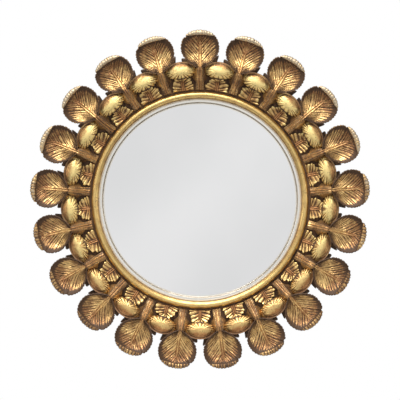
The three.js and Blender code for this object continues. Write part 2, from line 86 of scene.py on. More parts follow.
def ramp_between(tree, value, start, end, low=0.0, high=1.0):
    """A number that goes smoothly from low to high as value goes from start to end."""
    made = node(
        tree, "ShaderNodeMapRange",
        {"Value": value, "From Min": start, "From Max": end, "To Min": low, "To Max": high},
        interpolation_type="SMOOTHSTEP",
    )
    return made.outputs["Result"]


def calculate(tree, operation, first, second=0.0):
    """One step of arithmetic on sockets or numbers."""
    return node(tree, "ShaderNodeMath", {0: first, 1: second}, operation=operation).outputs["Value"]


def mix_numbers(tree, share, first, second):
    """A number that goes from first to second as share goes from 0 to 1."""
    return node(tree, "ShaderNodeMix", {0: share, 2: first, 3: second}, data_type="FLOAT").outputs[0]


def new_material(name):
    """A new material, with its node tree and its shader."""
    material = bpy.data.materials.new(name)
    material.use_nodes = True
    return material, material.node_tree, material.node_tree.nodes["Principled BSDF"]


def build_studio_world():
    """The room as seen by reflection: a light patch in front, dim round it, light above and dark below."""
    world = bpy.data.worlds.new("studio")
    world.use_nodes = True
    tree = world.node_tree
    tree.nodes.clear()
    direction = node(tree, "ShaderNodeTexCoord").outputs["Generated"]
    split = node(tree, "ShaderNodeSeparateXYZ", {"Vector": direction}).outputs
    around = ramp_between(tree, split["Z"], -0.05, -0.55, room_around, room_below)
    above = ramp_between(tree, split["Z"], 0.55, 0.80)
    rest = mix_numbers(tree, above, around, room_above)
    # a light band runs across the glass from lower left to upper right
    across = calculate(tree, "ABSOLUTE", calculate(tree, "SUBTRACT", split["X"], split["Z"]))
    front = ramp_between(tree, across, 0.0, 0.6, room_front * 1.05, room_front * 0.97)
    ahead = ramp_between(tree, split["Y"], -0.80, -0.86)
    level = mix_numbers(tree, ahead, rest, front)
    seen = node(tree, "ShaderNodeLightPath").outputs
    direct = calculate(tree, "MAXIMUM", seen["Is Camera Ray"], seen["Is Transmission Ray"])
    brightness = mix_numbers(tree, direct, level, 1.0)
    light = node(tree, "ShaderNodeBackground", {"Color": (1, 1, 1, 1), "Strength": brightness})
    node(tree, "ShaderNodeOutputWorld", {"Surface": light.outputs["Background"]})
    bpy.context.scene.world = world


def soft_light(name, place, size, power):
    """A square soft box that faces the middle of the mirror."""
    data = bpy.data.lights.new(name, "AREA")
    data.size = size
    data.energy = power
    lamp = bpy.data.objects.new(name, data)
    lamp.location = place
    lamp.rotation_euler = (-lamp.location).to_track_quat("-Z", "Y").to_euler()
    bpy.context.scene.collection.objects.link(lamp)


build_studio_world()
soft_light("key_light", (-0.3, -1.45, 2.4), 2.2, 84)
soft_light("left_light", (-2.4, -1.2, 0.5), 0.8, 8)
soft_light("right_light", (2.4, -1.2, 0.2), 0.8, 6)

floor_height = -0.62
floor_mesh = bpy.data.meshes.new("floor")
floor_mesh.from_pydata(
    [(-2, -0.5, floor_height), (2, -0.5, floor_height), (2, 1.8, floor_height), (-2, 1.8, floor_height)],
    [], [(0, 1, 2, 3)],
)
floor = bpy.data.objects.new("floor", floor_mesh)
bpy.context.scene.collection.objects.link(floor)
floor_paint, floor_tree, floor_shader = new_material("pale_floor")
feed(floor_tree, floor_shader, {"Base Color": (0.82, 0.82, 0.82, 1), "Roughness": 0.8})
floor_mesh.materials.append(floor_paint)

# ---------------------------------------------------------------------------------------------------------
# Turned ring. A ring of turned and dark-stained wood carries everything. Its flat back has two rebates, for
# the glass and for the backboard, its front is the seat of the leaves, and its inner wall is lined with
# silver leaf.
# ---------------------------------------------------------------------------------------------------------
fit_gap = 0.0003
ring_inner = 0.179
ring_outer = 0.237
ring_front = 0.022
ring_edge_round = 0.005
ring_back_chamfer = 0.002
ring_front_chamfer = 0.0006
corner_guard = 0.0003  # a second point this near each end of a wall keeps its smooth shading flat
glass_radius = 0.184
glass_rise = 0.022
glass_thickness = 0.004
board_radius = 0.2006
board_thickness = 0.006
glass_edge_front = board_thickness + fit_gap + glass_thickness
glass_sphere = (glass_radius ** 2 + glass_rise ** 2) / (2 * glass_rise)


def arc(centre, reach, start, end, steps):
    """Points of an elliptic arc from start to end degrees, as rows of [radius, height]."""
    turn = np.radians(np.linspace(start, end, steps))
    return np.stack([centre[0] + reach[0] * np.cos(turn), centre[1] + reach[1] * np.sin(turn)], axis=1)


def grid_triangles(rows, columns):
    """Two triangles for each cell of a grid of points numbered row by row."""
    row, column = np.meshgrid(np.arange(rows - 1), np.arange(columns - 1), indexing="ij")
    a = (row * columns + column).ravel()
    b, c, d = a + 1, a + columns + 1, a + columns
    return np.concatenate([np.stack([a, b, c], 1), np.stack([a, c, d], 1)])


def upright(x, y, height):
    """Face coordinates (right, up, out from the wall) as points of the upright mirror, which faces -Y."""
    return np.stack([x, -height, y], axis=-1).reshape(-1, 3)


def shell(points, rows, columns, masks=()):
    """One closed surface for make_piece: the grid's points, its triangles and its masks in order."""
    return points.reshape(-1, 3), grid_triangles(rows, columns), [np.ravel(mask) for mask in masks]


def full_turn(steps):
    """Angles all the way round in equal steps. The last is 0 again, so that the seam closes exactly."""
    turn = np.linspace(0, 2 * np.pi, steps + 1)
    turn[-1] = 0
    return turn


def turned(profile, steps=252):
    """
    A closed surface of revolution about the mirror's axis: each [radius, height] point of the profile is
    swept to (radius sin t, radius cos t, height) for t all the way round.
    """
    turn = full_turn(steps)
    radius, height = np.asarray(profile).T
    x = np.outer(np.sin(turn), radius)
    y = np.outer(np.cos(turn), radius)
    return shell(upright(x, y, np.broadcast_to(height, x.shape)), len(turn), len(radius))


def make_piece(name, shells, material, replaced, body="frame", mask_names=()):
    """
    One object from closed shells. Points of a shell that fall together are welded, triangles that this
    closes up are dropped, and each shell is turned to face outward, as the sign of its volume tells.
    """
    points, triangles, masks, count = [], [], [], 0
    for places, faces, values in shells:
        keys = np.round(places * 1e7).astype(np.int64)
        _, first, welded = np.unique(keys, axis=0, return_index=True, return_inverse=True)
        faces = welded.ravel()[faces]
        places = places[first]
        a, b, c = faces.T
        faces = faces[(a != b) & (b != c) & (c != a)]
        a, b, c = places[faces].transpose(1, 0, 2)
        if np.einsum("ij,ij->", a, np.cross(b, c)) < 0:
            faces = faces[:, ::-1]
        points.append(places)
        triangles.append(faces + count)
        masks.append([value[first] for value in values])
        count += len(places)
    points = np.concatenate(points)
    triangles = np.concatenate(triangles)
    mesh = bpy.data.meshes.new(name)
    mesh.vertices.add(count)
    mesh.vertices.foreach_set("co", points.ravel().astype(np.float32))
    mesh.loops.add(triangles.size)
    mesh.loops.foreach_set("vertex_index", triangles.ravel().astype(np.int32))
    mesh.polygons.add(len(triangles))
    mesh.polygons.foreach_set("loop_start", np.arange(0, triangles.size, 3, dtype=np.int32))
    mesh.polygons.foreach_set("use_smooth", np.ones(len(triangles), dtype=bool))
    for index, mask in enumerate(mask_names):
        stored = mesh.attributes.new(mask, "FLOAT", "POINT")
        stored.data.foreach_set("value", np.concatenate([row[index] for row in masks]).astype(np.float32))
    mesh.update()
    mesh.materials.append(material)
    piece = bpy.data.objects.new(name, mesh)
    bpy.context.scene.collection.objects.link(piece)
    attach(piece, body)
    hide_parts(*replaced)


def glass_height(radius):
    """Height of the bowed front of the glass: a sphere that rises 22 mm from edge to centre."""
    return glass_edge_front + glass_rise - glass_sphere + np.sqrt(glass_sphere ** 2 - np.square(radius))


def object_place(tree):
    """The place of a point in its piece, which a pattern follows in every view."""
    return node(tree, "ShaderNodeTexCoord").outputs["Object"]


def noise(tree, place, scale, detail):
    """Cloudy noise about 0.5, the finer the larger its scale is."""
    inputs = {"Vector": place, "Scale": scale, "Detail": detail}
    return node(tree, "ShaderNodeTexNoise", inputs).outputs["Fac"]


def mix_colours(tree, share, first, second):
    """A colour that goes from first to second as share goes from 0 to 1."""
    return node(tree, "ShaderNodeMix", {0: share, 6: first, 7: second}, data_type="RGBA").outputs[2]


def emboss(tree, height, strength, distance):
    """The surface's normal, bent by a fine relief."""
    inputs = {"Height": height, "Strength": strength, "Distance": distance}
    return node(tree, "ShaderNodeBump", inputs).outputs["Normal"]


def build_wood(name, light, dark, grain, roughness):
    """Wood with long wavy grain lines and a cloudy stain, on Object coordinates."""
    material, tree, shader = new_material(name)
    place = object_place(tree)
    stretched = node(tree, "ShaderNodeMapping", {"Vector": place, "Scale": grain}).outputs["Vector"]
    fibre = noise(tree, stretched, 1.0, 6.0)
    stain = noise(tree, place, 9.0, 3.0)
    both = calculate(
        tree, "ADD", calculate(tree, "MULTIPLY", fibre, 0.7), calculate(tree, "MULTIPLY", stain, 0.3),
    )
    feed(tree, shader, {
        "Base Color": mix_colours(tree, ramp_between(tree, both, 0.35, 0.65), dark, light),
        "Roughness": roughness,
        "Normal": emboss(tree, fibre, 0.25, 0.0006),
    })
    return material


stained_wood = build_wood(
    "stained_wood", (0.25, 0.13, 0.06, 1), (0.11, 0.055, 0.025, 1), (260, 60, 34), 0.62,
)
silver_leaf = (0.97, 0.93, 0.85, 1)
silver_polish = 0.07


def line_with_silver(material, radius):
    """
    Covers a turned piece with burnished silver leaf wherever it lies nearer the mirror's axis than radius:
    its inner wall, which shows in the edge of the glass.
    """
    tree = material.node_tree
    shader = tree.nodes["Principled BSDF"]
    place = object_place(tree)
    flat = node(tree, "ShaderNodeVectorMath", {0: place, 1: (1, 0, 1)}, operation="MULTIPLY").outputs[0]
    away = node(tree, "ShaderNodeVectorMath", {0: flat}, operation="LENGTH").outputs["Value"]
    inside = ramp_between(tree, away, radius + 0.0002, radius + 0.0001)
    for key, silver in (("Metallic", 1.0), ("Roughness", silver_polish)):
        socket = shader.inputs[key]
        first = socket.links[0].from_socket if socket.links else socket.default_value
        feed(tree, shader, {key: mix_numbers(tree, inside, first, silver)})
    first = shader.inputs["Base Color"].links[0].from_socket
    feed(tree, shader, {"Base Color": mix_colours(tree, inside, first, silver_leaf)})
    bump = shader.inputs["Normal"].links[0].from_node
    relief = bump.inputs["Height"].links[0].from_socket
    outside = calculate(tree, "SUBTRACT", 1.0, inside)
    feed(tree, bump, {"Height": calculate(tree, "MULTIPLY", relief, outside)})


line_with_silver(stained_wood, ring_inner)
rebate = glass_radius + 2 * fit_gap
ledge = board_radius + 2 * fit_gap
lip_back = glass_height(ring_inner) + fit_gap
glass_rest = board_thickness + fit_gap
make_piece("turned_ring", [turned(np.concatenate([
    [[ledge, 0], [ring_outer - ring_back_chamfer, 0], [ring_outer, ring_back_chamfer]],
    arc((ring_outer - ring_edge_round, ring_front - ring_edge_round), (ring_edge_round,) * 2, 0, 90, 9),
    [[ring_inner + ring_front_chamfer, ring_front], [ring_inner, ring_front - ring_front_chamfer]],
    [[ring_inner, ring_front - ring_front_chamfer - corner_guard]],
    [[ring_inner, lip_back + corner_guard], [ring_inner, lip_back]],
    [[rebate, lip_back], [rebate, glass_rest], [ledge, glass_rest], [ledge, 0]],
]))], stained_wood, ["carcass_ring"])

# ---------------------------------------------------------------------------------------------------------
# Bead. The sight moulding is a gilded half round beside a thin fillet, with a quirk between them, and it
# hangs a little way in over the ring's inner edge. The gold is burnished and worn to brown specks, and the
# wall that faces the glass is lined with silver leaf, as the ring's is.
# ---------------------------------------------------------------------------------------------------------
sight_radius = 0.1775
fillet_width = 0.003
fillet_height = 0.005
fillet_crown = 0.0006
fillet_edge = 0.0008
fillet_steps = 17
quirk_depth = 0.0014
bead_width = 0.0123
bead_foot = 0.0036
bead_rise = 0.62 * bead_width
bead_steps = 25
bead_sides = 504
leaf_seat = ring_front + fit_gap
bead_outer = sight_radius + fillet_width + bead_width


def build_gilding_group():
    """
    Gold leaf over red bole, aged. Hollow, from 0 to 1, is where dark glazing has gathered and where painted
    shade is laid on as glazing, Bole is where the leaf has gone through to the red ground, and Worn is where
    handling has left it pale and where painted light is laid on as paleness. Noise breaks up the edges of
    all three and scatters specks of glazing, and a softer stain dulls the gold round the glazing and the
    shade.
    """
    group = bpy.data.node_groups.new("aged_gilding", "ShaderNodeTree")
    for name in ("Hollow", "Bole", "Wear_and_light", "Specks"):
        group.interface.new_socket(name, in_out="INPUT", socket_type="NodeSocketFloat")
    for name in ("Gold", "Glaze_and_shade", "Ground", "Pale"):
        group.interface.new_socket(name, in_out="INPUT", socket_type="NodeSocketColor")
    group.interface.new_socket("Color", in_out="OUTPUT", socket_type="NodeSocketColor")
    for name in ("Metallic", "Roughness", "Height"):
        group.interface.new_socket(name, in_out="OUTPUT", socket_type="NodeSocketFloat")
    given = node(group, "NodeGroupInput").outputs
    place = object_place(group)

    def times(first, second):
        return calculate(group, "MULTIPLY", first, second)

    def plus(first, second):
        return calculate(group, "ADD", first, second)

    def larger(first, second):
        return calculate(group, "MAXIMUM", first, second)

    def shaken(mask, shake, size):
        """A given mask, pushed up and down by noise of that size before it is sharpened."""
        return plus(given[mask], plus(times(shake, size), -size / 2))

    cloud = noise(group, place, 60, 4)
    grit = noise(group, place, 380, 5)
    rub = noise(group, place, 170, 5)
    uneven = plus(plus(times(cloud, 0.6), times(grit, 0.9)), -0.75)
    # where Hollow carries painted shade, this glaze colour is painted shade too
    glazed_and_shaded = ramp_between(group, plus(given["Hollow"], uneven), 0.30, 0.85)
    specks = times(ramp_between(group, grit, 0.58, 0.70), given["Specks"])
    glazed_and_shaded = larger(glazed_and_shaded, specks)
    through = ramp_between(group, shaken("Bole", rub, 1.2), 0.25, 0.70)
    pale = ramp_between(group, shaken("Wear_and_light", rub, 1.2), 0.30, 0.80)
    dulled = ramp_between(group, shaken("Hollow", cloud, 1.3), 0.0, 0.75, 0.0, 0.80)
    colour = mix_colours(group, dulled, given["Gold"], given["Ground"])
    colour = mix_colours(group, through, colour, given["Ground"])
    colour = mix_colours(group, pale, colour, given["Pale"])
    colour = mix_colours(group, glazed_and_shaded, colour, given["Glaze_and_shade"])
    bare = larger(times(through, 0.35), times(pale, 0.35))
    bare = larger(bare, times(glazed_and_shaded, 0.80))
    bare = larger(bare, times(dulled, 0.20))
    metal = calculate(group, "SUBTRACT", 0.97, bare)
    rough = plus(plus(0.25, times(cloud, 0.18)), times(bare, 0.30))
    height = plus(times(rub, 0.6), times(grit, 0.4))
    node(group, "NodeGroupOutput",
         {"Color": colour, "Metallic": metal, "Roughness": rough, "Height": height})
    return group


gilding = build_gilding_group()


def build_gold(name, gold, glaze_and_shade_colour, ground, pale, specks, relief, masks):
    """A gilt finish. Masks are the names of the group's inputs that the piece's own attributes drive."""
    material, tree, shader = new_material(name)
    inputs = {"Gold": gold, "Glaze_and_shade": glaze_and_shade_colour, "Ground": ground, "Pale": pale, "Specks": specks}
    leaf = node(tree, "ShaderNodeGroup", inputs, node_tree=gilding)
    for mask in masks:
        stored = node(tree, "ShaderNodeAttribute", attribute_name=mask)
        feed(tree, leaf, {mask: stored.outputs["Fac"]})
    feed(tree, shader, {
        "Base Color": leaf.outputs["Color"],
        "Metallic": leaf.outputs["Metallic"],
        "Roughness": leaf.outputs["Roughness"],
        "Normal": emboss(tree, leaf.outputs["Height"], 0.5, relief),
    })
    return material


burnished_gold = build_gold(
    "burnished_gold", (0.86, 0.60, 0.23, 1), (0.12, 0.06, 0.02, 1), (0.42, 0.20, 0.07, 1),
    (0.70, 0.60, 0.46, 1), 0.60, 0.0008, ("Hollow", "Wear_and_light"),
)
line_with_silver(burnished_gold, sight_radius)
bead_middle = sight_radius + fillet_width + bead_width / 2
bead_round = arc((bead_middle, leaf_seat + bead_foot), (bead_width / 2, bead_rise), 0, 180, bead_steps)
fillet_middle = sight_radius + fillet_width / 2
fillet_top = leaf_seat + fillet_height
bead_profile = np.concatenate([
    [[sight_radius, leaf_seat], [bead_outer, leaf_seat]], bead_round,
    [[sight_radius + fillet_width, fillet_top - quirk_depth]],
    arc((fillet_middle, fillet_top - fillet_crown), (0.0014, fillet_crown), 10, 170, fillet_steps),
    [[sight_radius, fillet_top - fillet_edge], [sight_radius, fillet_top - fillet_edge - corner_guard]],
    [[sight_radius, leaf_seat + corner_guard], [sight_radius, leaf_seat]],
])
# glaze lies towards the quirk, painted shade darkens the bead's outer foot where it meets the leaves, and
# the fillet is rubbed pale
bead_slope = np.linspace(0, 1, bead_steps)
bead_glaze_and_shade = np.concatenate([
    [0, 1], 0.55 * bead_slope[::-1] ** 9 + 0.50 * bead_slope ** 2, [0.6],
    np.full(fillet_steps, 0.15), np.zeros(4),
])
bead_worn = np.concatenate([[1, 0], np.zeros(bead_steps), [0.2], np.full(fillet_steps, 0.8), np.ones(4)])
bead_points, bead_faces = turned(bead_profile, bead_sides)[:2]
bead_masks = [np.tile(mask, bead_sides + 1) for mask in (bead_glaze_and_shade, bead_worn)]
make_piece(
    "bead", [(bead_points, bead_faces, bead_masks)], burnished_gold,
    ["bead_ring"], mask_names=("Hollow", "Wear_and_light"),
)

# ---------------------------------------------------------------------------------------------------------
# Glass. A bowed silvered glass, held between the ring's lip and the backboard. The silvering is at the front
# of the solid, and its tint and polish vary a little from place to place.
# ---------------------------------------------------------------------------------------------------------
silvered, silver_tree, silver_shader = new_material("silvered_glass")
silver_cloud = noise(silver_tree, object_place(silver_tree), 6.0, 2.0)
silver_share = ramp_between(silver_tree, silver_cloud, 0.3, 0.7)
feed(silver_tree, silver_shader, {
    "Base Color": mix_colours(silver_tree, silver_share, (0.90, 0.905, 0.91, 1), (0.94, 0.94, 0.945, 1)),
    "Metallic": 1.0,
    "Roughness": ramp_between(silver_tree, silver_cloud, 0.3, 0.7, 0.015, 0.04),
})
cap_radius = glass_radius * np.sin(np.linspace(0, np.pi / 2, 49))
make_piece("glass", [turned(np.concatenate([
    np.stack([cap_radius, glass_height(cap_radius) - glass_thickness], axis=1),
    np.stack([cap_radius, glass_height(cap_radius)], axis=1)[::-1],
]))], silvered, ["mirror_glass"])

# ---------------------------------------------------------------------------------------------------------
# Outer leaves. Carved from wood, gessoed and gilded, and glued to the ring. A stem climbs between two inner
# leaves to a cupped blade, whose scalloped tip is rolled forward into a lip. Two low ears lie on the ring.
# ---------------------------------------------------------------------------------------------------------
leaf_count = 21
pitch = 2 * np.pi / leaf_count
leaf_root = bead_outer + 0.0032
dome_length = 0.031
dome_start = leaf_root + 0.020
dome_end = dome_start + dome_length
blade_length = 0.0688
blade_overlap = 0.016  # the blade begins this far inside the outer end of the domes
blade_start = dome_end - blade_overlap
blade_end = blade_start + blade_length
blade_widest = blade_start + 0.53 * blade_length
blade_half = blade_widest * math.tan(pitch / 2) - 0.006
blade_base = leaf_seat + 0.0315
stem_root_half = 0.0077
cup_run = 0.031
cup_depth = 0.009
cup_floor = blade_base - cup_depth
lip_crest = cup_floor + 0.0167
lip_radius = 0.005
edge_radius = 0.0015
blade_thickness = 0.003
chord = 0.290  # the rolled lip's free edge lies along a straight line, this far from the mirror's centre
fan_point = 0.2335
vein_pitch = 0.0054


def step_up(value, start, end):
    """Smoothly from 0 to 1 as value goes from start to end."""
    share = np.clip((value - start) / (end - start), 0, 1)
    return share * share * (3 - 2 * share)


def leaf_place(x, y, height, turn):
    """Leaf coordinates (across, outward, out from the wall), turned clockwise about the mirror's centre."""
    across = x * math.cos(turn) + y * math.sin(turn)
    up = y * math.cos(turn) - x * math.sin(turn)
    return upright(across, up, height)


def blade_outline(angle):
    """Edge of the blade by the angle round its widest point: 0 is the tip and pi the neck."""
    across, along = np.sin(angle), np.cos(angle)
    to_tip = along > 0
    x = blade_half * np.sign(across) * np.abs(across) ** np.where(to_tip, 0.91, 1.6)
    tip = blade_widest + (blade_end - blade_widest) * np.abs(along) ** 0.91
    return x, np.where(to_tip, tip, blade_widest + (blade_widest - blade_start) * along)


def hand_cut(run, spacing, random, sharp=0.75):
    """
    Hand-cut grooves across a run of surface: 0 on the round ribs and up to 1 in the narrow cuts between
    them. The spacing wanders a little along the run, and each cut has its own depth.
    """
    phase = run / spacing + random.uniform(0, 1)
    for waves, size in ((4.3, 0.16), (2.1, 0.09)):
        phase = phase + size * np.sin(run / (waves * spacing) * 2 * np.pi + random.uniform(0, 2 * np.pi))
    depths = random.uniform(0.6, 1.0, 256)
    return (1 - np.abs(np.cos(np.pi * phase)) ** sharp) * depths[np.floor(phase).astype(int) % 256]


def blade_shell(random, lip_wear_and_light):
    """
    The blade and its rolled lip. Each column of the grid is one vein line: it leaves the midrib, bends over
    to the edge, and goes round the lip and back underneath. Along it the surface sinks into the cup, and
    across the columns it is cut into ribs, which also scallop the edge and the lip. The top of the lip is
    rubbed pale by as much as lip_wear_and_light says, which is partly wear and partly painted light from
    above. The inside of the roll and the underside are glazed dark as painted shade.
    """
    dense = np.linspace(-np.pi, np.pi, 4001)
    dense_x, dense_y = blade_outline(dense)
    run = np.concatenate([[0], np.cumsum(np.hypot(np.diff(dense_x), np.diff(dense_y)))])
    run -= run[len(run) // 2]
    columns = 289
    along_edge = np.linspace(run[0], run[-1], columns)
    angle = np.interp(along_edge, run, dense)
    angle[[0, -1]] = np.pi
    turn_off = np.degrees(np.abs(angle))
    edge_x, edge_y = blade_outline(angle)
    edge_x[[0, -1]] = 0
    # outward in the plane of the leaf: square to the edge at the sides, and along the leaf at the lip
    out_x, out_y = -np.gradient(edge_y), np.gradient(edge_x)
    flip = np.where(out_x * edge_x + out_y * (edge_y - blade_widest) < 0, -1, 1)
    length = np.hypot(out_x, out_y) * flip
    lip = 1 - step_up(turn_off, 38, 56)
    out_x, out_y = out_x / length * (1 - 0.7 * lip), out_y / length + lip
    length = np.hypot(out_x, out_y)
    out_x, out_y = out_x / length, out_y / length
    out_x[[0, -1]], out_y[[0, -1]] = 0, -1
    # scallops, and a deeper bite on one side where the lip begins
    cut = hand_cut(along_edge, vein_pitch, random)
    stroke = np.cumsum(random.normal(0, 0.35, columns))
    lobed = 1 - step_up(turn_off, 125, 150)
    bite = step_up(9 - np.abs(np.degrees(angle) + 51), 0, 9)
    inset = 0.0014 * cut * lobed + 0.0022 * bite
    edge_x, edge_y = edge_x - inset * out_x, edge_y - inset * out_y
    # the roll: its radius follows the depth of the crescent between the tip's arc and the chord
    depth = np.clip(edge_y - chord, 0, None)
    outer = edge_radius + (lip_radius - edge_radius) * np.clip(depth / (blade_end - chord), 0, 1) ** 0.8
    thickness = np.minimum(blade_thickness, outer - 0.00015)
    inner = outer - thickness
    side_height = blade_base + 0.004 * step_up(edge_y, blade_start, blade_end) - edge_radius
    axis_height = side_height + (lip_crest - lip_radius - side_height) * step_up(outer, 0.0016, 0.0045)
    axis_x, axis_y = edge_x - outer * out_x, edge_y - outer * out_y
    enter = math.radians(-45)
    leave = np.radians(100 + 65 * step_up(outer, 0.002, 0.0045))
    join_x = axis_x + inner * math.cos(enter) * out_x
    join_y = axis_y + inner * math.cos(enter) * out_y
    join_height = axis_height + inner * math.sin(enter)
    # the vein lines, from the midrib to the join
    begin_y = fan_point + 0.047 * step_up(100 - turn_off, 0, 100)
    reach = np.hypot(join_x, join_y - begin_y)
    bend_x = 0.30 * join_x
    bend_y = begin_y + 0.30 * (join_y - begin_y) + 0.14 * reach * step_up(140 - turn_off, 0, 70)

    def vein_line(share):
        """Points of the vein lines, their height, and how far they have risen to the edge and sunk."""
        x = 2 * share * (1 - share) * bend_x + share ** 2 * join_x
        y = (1 - share) ** 2 * begin_y + 2 * share * (1 - share) * bend_y + share ** 2 * join_y
        rise = np.clip(1 - (1 - share) * reach / 0.024, 0, 1) ** 2.2
        sink = step_up(y, blade_start, blade_start + cup_run)
        middle = blade_base + (cup_floor - blade_base) * sink
        return x, y, middle + (join_height - middle) * rise, rise, sink

    share = np.linspace(0, 1, 34)[:, None] ** 1.3
    x, y, height, rise, sink = vein_line(share)
    fine = hand_cut(along_edge, vein_pitch / 2.6, random)
    # each cut is made in short strokes, so that its depth comes and goes along the vein
    pressed = 0.5 + 0.5 * np.sin(19 * share + stroke)
    deep = cut * step_up(share, 0.05, 0.28) * (0.45 + 0.55 * pressed)
    scratched = fine * step_up(share, 0.15, 0.40) * (1 - 0.8 * pressed)
    height = height - (0.0022 * deep + 0.0010 * scratched) * (1 - 0.25 * share)
    midrib = np.exp(-((np.abs(x) - 0.0019) / 0.0009) ** 2) * (1 - step_up(y, 0.270, 0.281))
    height = height + 0.0013 * midrib
    # glaze lies in the cuts and red ground along the midrib; painted shade, laid on as glaze, darkens the
    # blade under the lip, along the side edges and at the neck; the outer half is darker and redder
    under_lip = (1 - step_up((1 - share) * reach, 0.001, 0.010)) * lip
    side_edge = (1 - step_up((1 - share) * reach, 0.001, 0.009)) * (1 - lip)
    outward = step_up(y, 0.250, 0.282)
    neck = 1 - step_up(y, 0.238, 0.252)
    hollow = 0.14 + 1.00 * deep + 0.50 * scratched + 0.70 * under_lip + 0.75 * side_edge
    hollow = np.clip(hollow + 0.14 * outward + 0.42 * neck, 0, 1.1) - 0.5 * midrib
    bole = 0.60 * midrib + 0.50 * outward + 0.1 * sink
    pale_wear_and_light = 0 * hollow

    # the inside of the roll, its free edge, the outside, and the underside back to the midrib
    sweep = np.linspace(0, 1, 11)[:, None]
    turn = enter + (leave - enter) * sweep
    inside = [axis_x + inner * np.cos(turn) * out_x, axis_y + inner * np.cos(turn) * out_y,
              axis_height + inner * np.sin(turn)]
    turn = turn[::-1]
    fluted = outer - 0.0005 * cut * np.minimum(outer / lip_radius, 1) * (1 - sweep) ** 0.3
    outside = [axis_x + fluted * np.cos(turn) * out_x, axis_y + fluted * np.cos(turn) * out_y,
               axis_height + fluted * np.sin(turn)]
    back = np.linspace(1, 0, 9)[1:, None] ** 1.4
    back_x, back_y, back_height, back_rise, _ = vein_line(back)
    slant = math.radians(45) * back_rise
    under = [
        back_x + thickness * np.sin(slant) * out_x * back, back_y + thickness * np.sin(slant) * out_y * back,
        back_height - blade_thickness + (blade_thickness - thickness * np.cos(slant)) * back,
    ]
    x, y, height = (
        np.concatenate([first, second[1:], third, fourth])
        for first, second, third, fourth in zip((x, y, height), inside, outside, under)
    )
    top = step_up(np.sin(turn), 0.0, 0.8)
    inside_rows, under_rows = np.ones((10, columns)), np.ones((8, columns))
    # painted shade: the inside of the roll and the underside are glazed dark, and the lip's outside is
    # darker below the crest and along the sides; painted light: the lips round the top of the mirror are
    # paler and less glazed
    hollow = np.concatenate([
        hollow, inside_rows,
        0.65 - 0.60 * lip_wear_and_light + (0.70 - 0.55 * lip_wear_and_light) * cut + 0.45 * (1 - top) + 0.45 * (1 - lip),
        0.8 * under_rows,
    ])
    bole = np.concatenate([bole, 0.2 * inside_rows, 0.1 + 0 * fluted, 0.2 * under_rows])
    pale_wear_and_light = np.concatenate([pale_wear_and_light, 0 * inside_rows, lip_wear_and_light * top * lip, 0 * under_rows])
    return x, y, height, hollow, bole, pale_wear_and_light


def stem_shell(random):
    """
    The stem: a loft along the leaf. Its section is a low arch with two fine ridges along the middle, on
    sides that spread to a skirt between the domes, and it runs on under the blade as a keel.
    """
    keel_end = blade_start + 0.027
    y = np.concatenate([
        [leaf_root], np.linspace(leaf_root, blade_start, 30), np.linspace(blade_start + 0.002, keel_end, 12),
        [keel_end],
    ])[:, None]
    climb = step_up(y, leaf_root, blade_start)
    half = (stem_root_half - 0.0026 * climb) * (1 - 0.3 * step_up(y, blade_start + 0.003, keel_end))
    sink = step_up(y, blade_start, blade_start + cup_run)
    crown = leaf_seat + 0.008 + 0.0235 * climb - cup_depth * sink - 0.0015 * step_up(y, blade_start, 0.238)
    lower = leaf_seat + (crown - 0.004 - leaf_seat) * step_up(y, 0.236, keel_end)
    spread = step_up(y, 0.208, 0.220) * (1 - step_up(y, 0.226, 0.2355))
    skirt = half + 0.0085 * spread
    shoulder = crown - 0.0022
    skirt_top = lower + (shoulder - lower) * (0.75 - 0.30 * spread)
    across = np.linspace(-1, 1, 41)[None, :]
    run = half * across
    # the two sides are cut a little out of step
    cut_run = np.abs(across[0]) * stem_root_half + 0.0004 * np.sign(across[0])
    streak = hand_cut(cut_run, 0.0019, random)[None, :]
    ridge = np.exp(-((np.abs(run) - 0.0019) / 0.0007) ** 2)
    arch = crown - 0.0022 * np.abs(across) ** 3 - 0.0006 * streak + 0.0012 * ridge
    rest = [(skirt, skirt_top), (skirt, lower), (-skirt, lower), (-skirt, skirt_top), (-half, arch[:, :1])]
    x = np.concatenate([run] + [side for side, _ in rest], axis=1)
    height = np.concatenate([arch] + [level for _, level in rest], axis=1)
    y = y * np.ones_like(x)
    # both ends are drawn in to a point at the middle of the section
    x[[0, -1]] = 0
    height[[0, -1]] = (crown + lower)[[0, -1]] / 2
    flank = np.ones((len(y), 5))
    hollow = 0.50 + 0.55 * streak - 0.8 * ridge - 0.10 * step_up(y[:, :1], 0.228, 0.240)
    hollow = np.concatenate([hollow, 0.50 * flank], axis=1)
    bole = np.concatenate([0.15 + 0.7 * ridge, 0.3 * flank], axis=1)
    pale_wear_and_light = np.concatenate([0.38 * (1 - streak) * (1 - ridge), 0 * flank], axis=1)
    return x, y, height, hollow, bole, pale_wear_and_light


